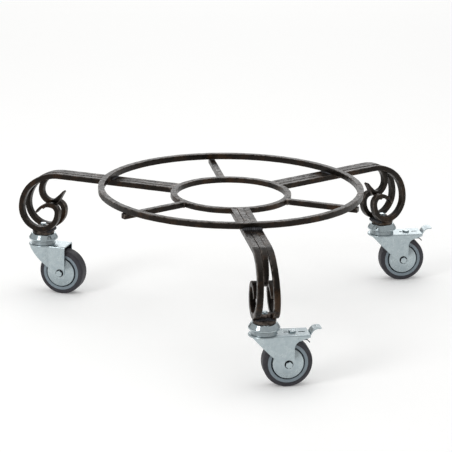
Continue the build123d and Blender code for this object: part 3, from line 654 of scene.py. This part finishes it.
def leaning(side, bar):
    """An outer bar's place in its leg: beside the middle bar, leaning outward about its top inner edge."""
    lean = side * bar.splay
    across = side * (1.5 - 0.5 * math.cos(lean)) * BAR_WIDTH
    sink = -0.5 * BAR_WIDTH * math.sin(bar.splay)
    return Matrix.Translation((0, across, sink)) @ Matrix.Rotation(lean, 4, "X")


class TROLLEY_OT_leg_bars(bpy.types.Operator):
    """Forge the nine leg bars, three to a leg, with their scrolls"""

    bl_idname = "trolley.leg_bars"
    bl_label = "Leg bars"

    def execute(self, context):
        bar = context.scene.trolley_bar
        seed = 8
        for leg in LEGS:
            for side, side_name in ((-1, "left"), (0, "middle"), (1, "right")):
                pen = draw_outer_bar(bar) if side else draw_middle_bar(bar)
                pen.crown_end(bar.crown)
                pen.put(leg_frame(leg) @ (leaning(side, bar) if side else Matrix.Identity(4)))
                seed += 1
                hammer(pen.bm, bar, seed)
                finish_piece(pen.bm, f"{leg}_leg_{side_name}_bar")
        return {"FINISHED"}


class Bead(NamedTuple):
    """A weld bead across a leg or a spoke, in a leg's own axes."""

    out: float
    height: float
    across: float
    radius: float


def weld_bead(bm, place, bead, seed):
    """Lay a bead in a place: a round cord with the ripples that the weld leaves."""
    start = Vector((bead.out, -bead.across / 2, bead.height))
    end = Vector((bead.out, bead.across / 2, bead.height))
    run = (end - start).length
    steps = max(8, round(run / (0.8 * MM)))
    ripple = 4      # sections to a ripple
    # shares of the bead's radius
    ripple_height, unevenness, thinnest = 0.1, 0.14, 0.4
    circle = bmesh.ops.create_circle(bm, cap_ends=True, segments=12, radius=bead.radius * thinnest)
    along = (end - start).to_track_quat("Z", "Y").to_matrix().to_4x4()
    axes = place @ Matrix.Translation(start) @ along
    bmesh.ops.transform(bm, matrix=axes, verts=circle["verts"])
    face = circle["verts"][0].link_faces[0]
    size = thinnest
    for step in range(1, steps + 1):
        face = extruded(bm, face)
        span = step / steps
        swell = (1 - abs(2 * span - 1) ** 5) ** 0.5 * (1 - thinnest) + thinnest
        wave = 1 + ripple_height * math.cos(FULL_TURN * step / ripple)
        wave += unevenness * noise.noise((step * 0.31, seed, 0))
        here = axes @ Matrix.Translation((0, 0, run * span))
        bmesh.ops.translate(bm, vec=(axes.to_3x3() @ UP) * (run / steps), verts=face.verts[:])
        bmesh.ops.scale(
            bm, vec=(swell * wave / size, swell * wave / size, 1), space=here.inverted(), verts=face.verts[:]
        )
        size = swell * wave


class TROLLEY_OT_welds(bpy.types.Operator):
    """Lay the weld beads that hold the bars, the rings and the castor seats together"""

    bl_idname = "trolley.welds"
    bl_label = "Weld beads"

    def execute(self, context):
        bar = context.scene.trolley_bar
        ring_inside = OUTER_RING_RADIUS - BAR_WIDTH
        seat = SEAT_TOP - ARM_TOP
        foot = KINGPIN_RADIUS - bar.hook_inset
        leg_width = 3 * BAR_WIDTH
        seat_bead = {"height": seat + 0.8 * MM, "across": 29 * MM, "radius": 3.2 * MM}
        seat_bead_out = 13 * MM
        spoke_bead_height = 0.4 * MM - BAR_THICKNESS
        leg_beads = (
            Bead(OUTER_RING_RADIUS + 0.3 * MM, height=-0.6 * MM, across=leg_width + 1 * MM, radius=4.2 * MM),
            Bead(ring_inside, height=-0.4 * MM, across=leg_width - 4 * MM, radius=2.0 * MM),
            Bead(INNER_RING_RADIUS, height=-BAR_THICKNESS, across=leg_width - 4 * MM, radius=2.2 * MM),
            Bead(foot - seat_bead_out, **seat_bead),
            Bead(foot + seat_bead_out, **seat_bead),
        )
        spoke_beads = (
            Bead(ring_inside, height=-0.3 * MM, across=BAR_WIDTH - 2 * MM, radius=1.8 * MM),
            Bead(INNER_RING_RADIUS, height=spoke_bead_height, across=BAR_WIDTH - 3 * MM, radius=1.6 * MM),
        )
        for leg in LEGS:
            spoke_place = leg_frame(leg) @ Matrix.Rotation(math.pi, 4, "Z")
            groups = (("leg", leg_frame(leg), leg_beads), ("spoke", spoke_place, spoke_beads))
            for kind, place, beads in groups:
                bm = bmesh.new()
                for seed, bead in enumerate(beads):
                    weld_bead(bm, place, bead, seed + len(leg) + 0.37)
                face_outward(bm)
                piece = make_object(bm, f"{leg}_{kind}_weld_beads", sharp=70.0, even=False)
                piece.data.materials.append(MATERIAL_OF["weld"])
                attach(piece, "frame")
        return {"FINISHED"}


class TROLLEY_OT_castor_seats(bpy.types.Operator):
    """Turn the round plates under the legs"""

    bl_idname = "trolley.castor_seats"
    bl_label = "Castor seats"

    def execute(self, context):
        castor = context.scene.trolley_castor
        hole = castor.bolt + castor.seat_play
        outline = [
            (hole, SEAT_UNDERSIDE, 0),
            (SEAT_RADIUS, SEAT_UNDERSIDE, 0.8 * castor.seat_round),
            (SEAT_RADIUS, SEAT_TOP, castor.seat_round),
            (hole, SEAT_TOP, 0),
        ]
        for leg in LEGS:
            bm = bmesh.new()
            lathe(bm, outline, castor_frame(leg))
            finish_piece(bm, f"{leg}_castor_seat")
        return {"FINISHED"}


# ---- castors -----------------------------------------


class TROLLEY_OT_kingpins(bpy.types.Operator):
    """Make the three kingpin bolts with their threads, and their nuts"""

    bl_idname = "trolley.kingpins"
    bl_label = "Kingpin bolts and nuts"

    def execute(self, context):
        castor = context.scene.trolley_castor
        low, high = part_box("kingpin_bolts")
        # a hexagon's corners lie as far out as its width across the flats over the root of three
        corner = castor.bolt_hex / math.sqrt(3)
        bm = bmesh.new()
        for leg in LEGS:
            hexagon = bmesh.ops.create_cone(
                bm, cap_ends=True, segments=6, radius1=corner, radius2=corner, depth=castor.bolt_head
            )
            middle = Matrix.Translation((0, 0, low.z + castor.bolt_head / 2))
            quarter = Matrix.Rotation(math.radians(90), 4, "Z")
            bmesh.ops.transform(bm, matrix=castor_frame(leg) @ middle @ quarter, verts=hexagon["verts"])
        break_edges(bm, 2 * castor.edge)
        for leg in LEGS:
            thread_depth = 0.55 * castor.thread_pitch
            crest, root = castor.bolt, castor.bolt - thread_depth
            outline = [(0, low.z + castor.bolt_head, 0), (crest, low.z + castor.bolt_head, 0)]
            turns = int((high.z - SEAT_TOP) / castor.thread_pitch)
            thread_start = high.z - turns * castor.thread_pitch
            for turn_count in range(turns):
                height = thread_start + turn_count * castor.thread_pitch
                outline.append((crest, height, 0))
                outline.append((root, height + castor.thread_pitch / 2, 0))
            outline += [(root, high.z, 0), (0, high.z, 0)]
            lathe(bm, outline, castor_frame(leg), steps=48)
        finish_piece(bm, "kingpin_bolts", sharp=30.0)
        bm = merged_copy("kingpin_nuts")
        break_edges(bm, 2 * castor.edge)
        finish_piece(bm, "kingpin_nuts")
        return {"FINISHED"}


class TROLLEY_OT_swivel_caps(bpy.types.Operator):
    """Turn the pressed caps that cover the upper balls"""

    bl_idname = "trolley.swivel_caps"
    bl_label = "Swivel caps"

    def execute(self, context):
        castor = context.scene.trolley_castor
        for leg in LEGS:
            low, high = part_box(f"{leg}_swivel_cap")
            rim = (high.x - low.x) / 2
            bush_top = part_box(f"{leg}_kingpin_bush")[1].z
            shoulder = low.z + castor.cap_skirt
            outline = [
                (castor.bolt, high.z, 0),
                (castor.cap_crown, high.z, castor.cap_round),
                (rim, shoulder, castor.cap_bend),
                (rim, low.z, castor.cut_edge),
                (rim - castor.sheet, low.z, castor.cut_edge),
                (rim - castor.sheet, shoulder, 0.8 * castor.cap_bend),
                (castor.cap_crown - castor.sheet, bush_top, castor.cap_bend),
                (castor.bolt, bush_top, 0),
            ]
            bm = bmesh.new()
            lathe(bm, outline, castor_frame(leg))
            # a turned cap shines more than the flat pressings around it
            finish_piece(bm, f"{leg}_swivel_cap").data.materials[0] = MATERIAL_OF["zinc_fasteners"]
        return {"FINISHED"}


class TROLLEY_OT_forks(bpy.types.Operator):
    """Break the sheet edges of the pressed forks"""

    bl_idname = "trolley.forks"
    bl_label = "Forks"

    def execute(self, context):
        for leg in LEGS:
            bm = merged_copy(f"{leg}_fork")
            break_edges(bm, context.scene.trolley_castor.edge)
            finish_piece(bm, f"{leg}_fork")
        return {"FINISHED"}


class TROLLEY_OT_wheels(bpy.types.Operator):
    """Turn the tyres and the moulded wheel centres"""

    bl_idname = "trolley.wheels"
    bl_label = "Wheels"

    def execute(self, context):
        castor = context.scene.trolley_castor
        low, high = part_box("front_wheel_centre")
        hub_half = (high.y - low.y) / 2
        half = castor.tyre_half
        rim = WHEEL_RADIUS - castor.tyre_band
        rim_inside = rim - castor.rim_wall
        tyre = [
            (rim, -half, 0),
            (rim, half, castor.moulded_edge),
            (WHEEL_RADIUS, half, castor.tyre_round),
            (WHEEL_RADIUS, -half, castor.tyre_round),
        ]
        side = [
            (rim, half, castor.moulded_edge),
            (rim_inside, half, castor.rim_round),
            (rim_inside - castor.web_draft, castor.web_half, castor.web_fillet),
            (castor.hub_root, castor.web_half, castor.web_fillet),
            (castor.hub, hub_half, castor.moulded_edge),
            (castor.hub_bore, hub_half, 0),
        ]
        centre = side + mirrored(reversed(side), -1)
        for leg in LEGS:
            for node, outline in ((f"{leg}_tyre", tyre), (f"{leg}_wheel_centre", centre)):
                bm = bmesh.new()
                lathe(bm, outline, axle_frame(leg), steps=128)
                finish_piece(bm, node)
        return {"FINISHED"}


class TROLLEY_OT_thread_guards(bpy.types.Operator):
    """Turn the dished discs that cover the wheel's sides"""

    bl_idname = "trolley.thread_guards"
    bl_label = "Thread guards"

    def execute(self, context):
        castor = context.scene.trolley_castor
        low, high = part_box("front_thread_guards")
        middle = (high.y - low.y) / 2
        rim = (high.z - low.z) / 2
        edge = middle - castor.guard_dish
        disc = [
            (castor.axle, middle, 0),
            (castor.guard_middle, middle, castor.guard_round),
            (rim, edge, castor.cut_edge),
            (rim, edge - castor.guard_sheet, castor.cut_edge),
            (castor.guard_middle, middle - castor.guard_sheet, castor.guard_round),
            (castor.axle, middle - castor.guard_sheet, 0),
        ]
        for leg in LEGS:
            bm = bmesh.new()
            for side in (-1, 1):
                lathe(bm, mirrored(disc, side), axle_frame(leg))
            finish_piece(bm, f"{leg}_thread_guards")
        return {"FINISHED"}


class TROLLEY_OT_axle_bolts(bpy.types.Operator):
    """Break the edges of the axle bolts and nuts, and lay a dark washer under each"""

    bl_idname = "trolley.axle_bolts"
    bl_label = "Axle bolts and nuts"

    def execute(self, context):
        castor = context.scene.trolley_castor
        washer = [
            (castor.axle, castor.cheek, 0),
            (castor.washer, castor.cheek, castor.cut_edge / 2),
            (castor.washer, castor.cheek + castor.washer_thickness, castor.cut_edge),
            (castor.axle, castor.cheek + castor.washer_thickness, 0),
        ]
        for leg in LEGS:
            for node, side in ((f"{leg}_axle_bolt", -1), (f"{leg}_axle_nut", 1)):
                bm = merged_copy(node)
                break_edges(bm, castor.edge)
                bolt_faces = set(bm.faces)
                lathe(bm, mirrored(washer, side), axle_frame(leg))
                for face in bm.faces:
                    face.material_index = 0 if face in bolt_faces else 1
                finish_piece(bm, node).data.materials.append(MATERIAL_OF["spring_steel"])
        return {"FINISHED"}


def wound_spring(leg, castor):
    """The torsion spring: close turns about the pedal's pin, and a straight tail bent down at its end."""
    pivot = Matrix.Translation(JOINTS[f"{leg}_brake_press"]["pos_m"]) @ castor_frame(leg).to_3x3().to_4x4()
    mean = castor.pin + castor.wire
    start, end = castor.coil_start + castor.wire, castor.coil_end - castor.wire
    coil_turns = (end - start) / (2 * castor.wire)
    bend = math.radians(45)
    bend_radius = 2 * castor.wire
    bend_start = castor.tail_reach - bend_radius * math.tan(bend / 2)
    bm = bmesh.new()
    bmesh.ops.create_circle(bm, cap_ends=True, segments=10, radius=castor.wire)
    bmesh.ops.translate(bm, vec=(-mean, -start, 0), verts=bm.verts[:])
    face = bm.faces[:][0]
    coil_steps = 30
    wind = Matrix.Rotation(-(coil_turns * FULL_TURN) / coil_steps, 3, "Y")
    for _ in range(coil_steps):
        face = extruded(bm, face)
        bmesh.ops.rotate(bm, cent=(0, 0, 0), matrix=wind, verts=face.verts[:])
        bmesh.ops.translate(bm, vec=(0, (start - end) / coil_steps, 0), verts=face.verts[:])
    face = extruded(bm, face)
    bmesh.ops.translate(bm, vec=(bend_start, 0, 0), verts=face.verts[:])
    bend_steps = 5
    bend_centre = (bend_start, 0, -mean - bend_radius)
    step_turn = Matrix.Rotation(bend / bend_steps, 3, "Y")
    for _ in range(bend_steps):
        face = extruded(bm, face)
        bmesh.ops.rotate(bm, cent=bend_centre, matrix=step_turn, verts=face.verts[:])
    face = extruded(bm, face)
    tail = Matrix.Rotation(bend, 3, "Y") @ Vector((castor.tail_end, 0, 0))
    bmesh.ops.translate(bm, vec=tail, verts=face.verts[:])
    bmesh.ops.transform(bm, matrix=pivot, verts=bm.verts[:])
    face_outward(bm)
    return bm


class TROLLEY_OT_brakes(bpy.types.Operator):
    """Finish the brake pedals and their adjusting screws, and wind their springs"""

    bl_idname = "trolley.brakes"
    bl_label = "Brakes"

    def execute(self, context):
        castor = context.scene.trolley_castor
        for leg in BRAKED:
            for kind, width in (("pedal", castor.edge), ("adjuster", castor.edge / 2)):
                bm = merged_copy(f"{leg}_brake_{kind}")
                break_edges(bm, width)
                finish_piece(bm, f"{leg}_brake_{kind}")
            finish_piece(wound_spring(leg, castor), f"{leg}_brake_spring")
        return {"FINISHED"}


class TROLLEY_OT_inner_works(bpy.types.Operator):
    """Give the pieces inside the castors their finish: balls, bushes, sleeves, washers and pins"""

    bl_idname = "trolley.inner_works"
    bl_label = "Inner works"

    def execute(self, context):
        for node, piece in frame["nodes"].items():
            if piece.hide_render:
                continue
            piece.data.materials.clear()
            piece.data.materials.append(MATERIAL_OF[SLOT_OF[node]])
        return {"FINISHED"}


# ---- stage -------------------------------------------


class TROLLEY_OT_stage(bpy.types.Operator):
    """Set up the camera, a pale floor and soft light"""

    bl_idname = "trolley.stage"
    bl_label = "Stage"

    def execute(self, context):
        stage = context.scene.trolley_stage
        self.add_camera(context.scene, stage)
        self.add_floor(context.scene, stage)
        self.add_light(context.scene, stage)
        return {"FINISHED"}

    def add_camera(self, scene, stage):
        camera = bpy.data.objects.new("camera", bpy.data.cameras.new("camera"))
        camera.data.lens = stage.lens
        camera.data.clip_end = 100
        look = Vector(stage.target) - Vector(stage.camera)
        aim = look.to_track_quat("-Z", "Y").to_matrix().to_4x4()
        camera.matrix_world = Matrix.Translation(stage.camera) @ aim @ Matrix.Rotation(stage.roll, 4, "Z")
        scene.collection.objects.link(camera)
        scene.camera = camera

    def add_floor(self, scene, stage):
        # the paper glows faintly: painted light that lifts the shadows cast on the floor
        painted_floor_glow = {"Emission_Color": (1, 1, 1, 1), "Emission_Strength": 0.12}
        finish = Finish("matt white paper", Roughness=0.9, **painted_floor_glow)
        shade = finish.between(finish.cloud(400 * MM), 0.3, 0.7, 0.0, 0.05)
        finish.connect("Base Color", finish.blend(shade, stage.floor, (0.9, 0.9, 0.9)))
        bm = bmesh.new()
        bmesh.ops.create_grid(bm, x_segments=8, y_segments=8, size=15)
        floor = make_object(bm, "floor", sharp=30.0, even=False)
        floor.data.materials.append(finish.material)

    def add_light(self, scene, stage):
        scene.view_settings.view_transform = "Standard"
        world = bpy.data.worlds.new("white room")
        world.use_nodes = True
        tree = world.node_tree
        # the walls are darker than the ceiling, so that bright metal has something to reflect
        direction = add_node(tree, "ShaderNodeTexCoord").outputs["Generated"]
        upward = add_node(tree, "ShaderNodeSeparateXYZ", {0: direction}).outputs["Z"]
        spread = {
            "Value": upward, "From Min": 0.02, "From Max": 0.3, "To Min": stage.walls, "To Max": stage.sky
        }
        strength = add_node(tree, "ShaderNodeMapRange", spread, interpolation_type="SMOOTHSTEP")
        background = tree.nodes["Background"]
        background.inputs["Color"].default_value = (1, 1, 1, 1)
        tree.links.new(strength.outputs["Result"], background.inputs["Strength"])
        scene.world = world
        for name, spot, width, height, power in (
            ("overhead softbox", (0.2, 0.4, 2.6), 2.2, 2.2, 17),
            ("left softbox", (-2.4, -1.6, 2.0), 0.9, 1.4, 26),
            ("back softbox", (0.7, 4.6, 1.4), 4.2, 1.2, 28),
        ):
            lamp = bpy.data.lights.new(name, "AREA")
            lamp.shape = "RECTANGLE"
            lamp.size = width
            lamp.size_y = height
            lamp.energy = power
            light = bpy.data.objects.new(name, lamp)
            light.visible_camera = False
            aim = (-Vector(spot)).to_track_quat("-Z", "Y").to_matrix().to_4x4()
            light.matrix_world = Matrix.Translation(spot) @ aim
            scene.collection.objects.link(light)


# ---- add-on ------------------------------------------

STEPS = (
    TROLLEY_OT_finishes,
    TROLLEY_OT_stage,
    TROLLEY_OT_rings,
    TROLLEY_OT_spokes,
    TROLLEY_OT_leg_bars,
    TROLLEY_OT_welds,
    TROLLEY_OT_castor_seats,
    TROLLEY_OT_kingpins,
    TROLLEY_OT_swivel_caps,
    TROLLEY_OT_forks,
    TROLLEY_OT_wheels,
    TROLLEY_OT_thread_guards,
    TROLLEY_OT_axle_bolts,
    TROLLEY_OT_brakes,
    TROLLEY_OT_inner_works,
)
SETTINGS = {
    "trolley_bar": ForgedBar,
    "trolley_castor": CastorParts,
    "trolley_finishes": Finishes,
    "trolley_stage": Stage,
}


class TROLLEY_PT_panel(bpy.types.Panel):
    """The trolley's settings, and a button for each step"""

    bl_idname = "TROLLEY_PT_panel"
    bl_label = "Plant trolley"
    bl_space_type = "VIEW_3D"
    bl_region_type = "UI"
    bl_category = "Plant trolley"

    def draw(self, context):
        for step in STEPS:
            self.layout.operator(step.bl_idname)
        for name, group in SETTINGS.items():
            box = self.layout.box()
            for setting in group.__annotations__:
                box.prop(getattr(context.scene, name), setting)


def register():
    for kind in (*SETTINGS.values(), *STEPS, TROLLEY_PT_panel):
        bpy.utils.register_class(kind)
    for name, group in SETTINGS.items():
        setattr(bpy.types.Scene, name, PointerProperty(type=group))


def unregister():
    for name in SETTINGS:
        delattr(bpy.types.Scene, name)
    for kind in reversed((*SETTINGS.values(), *STEPS, TROLLEY_PT_panel)):
        bpy.utils.unregister_class(kind)


def main():
    register()
    for step in STEPS:
        getattr(bpy.ops.trolley, step.bl_idname.split(".")[1])()


if __name__ == "__main__":
    main()
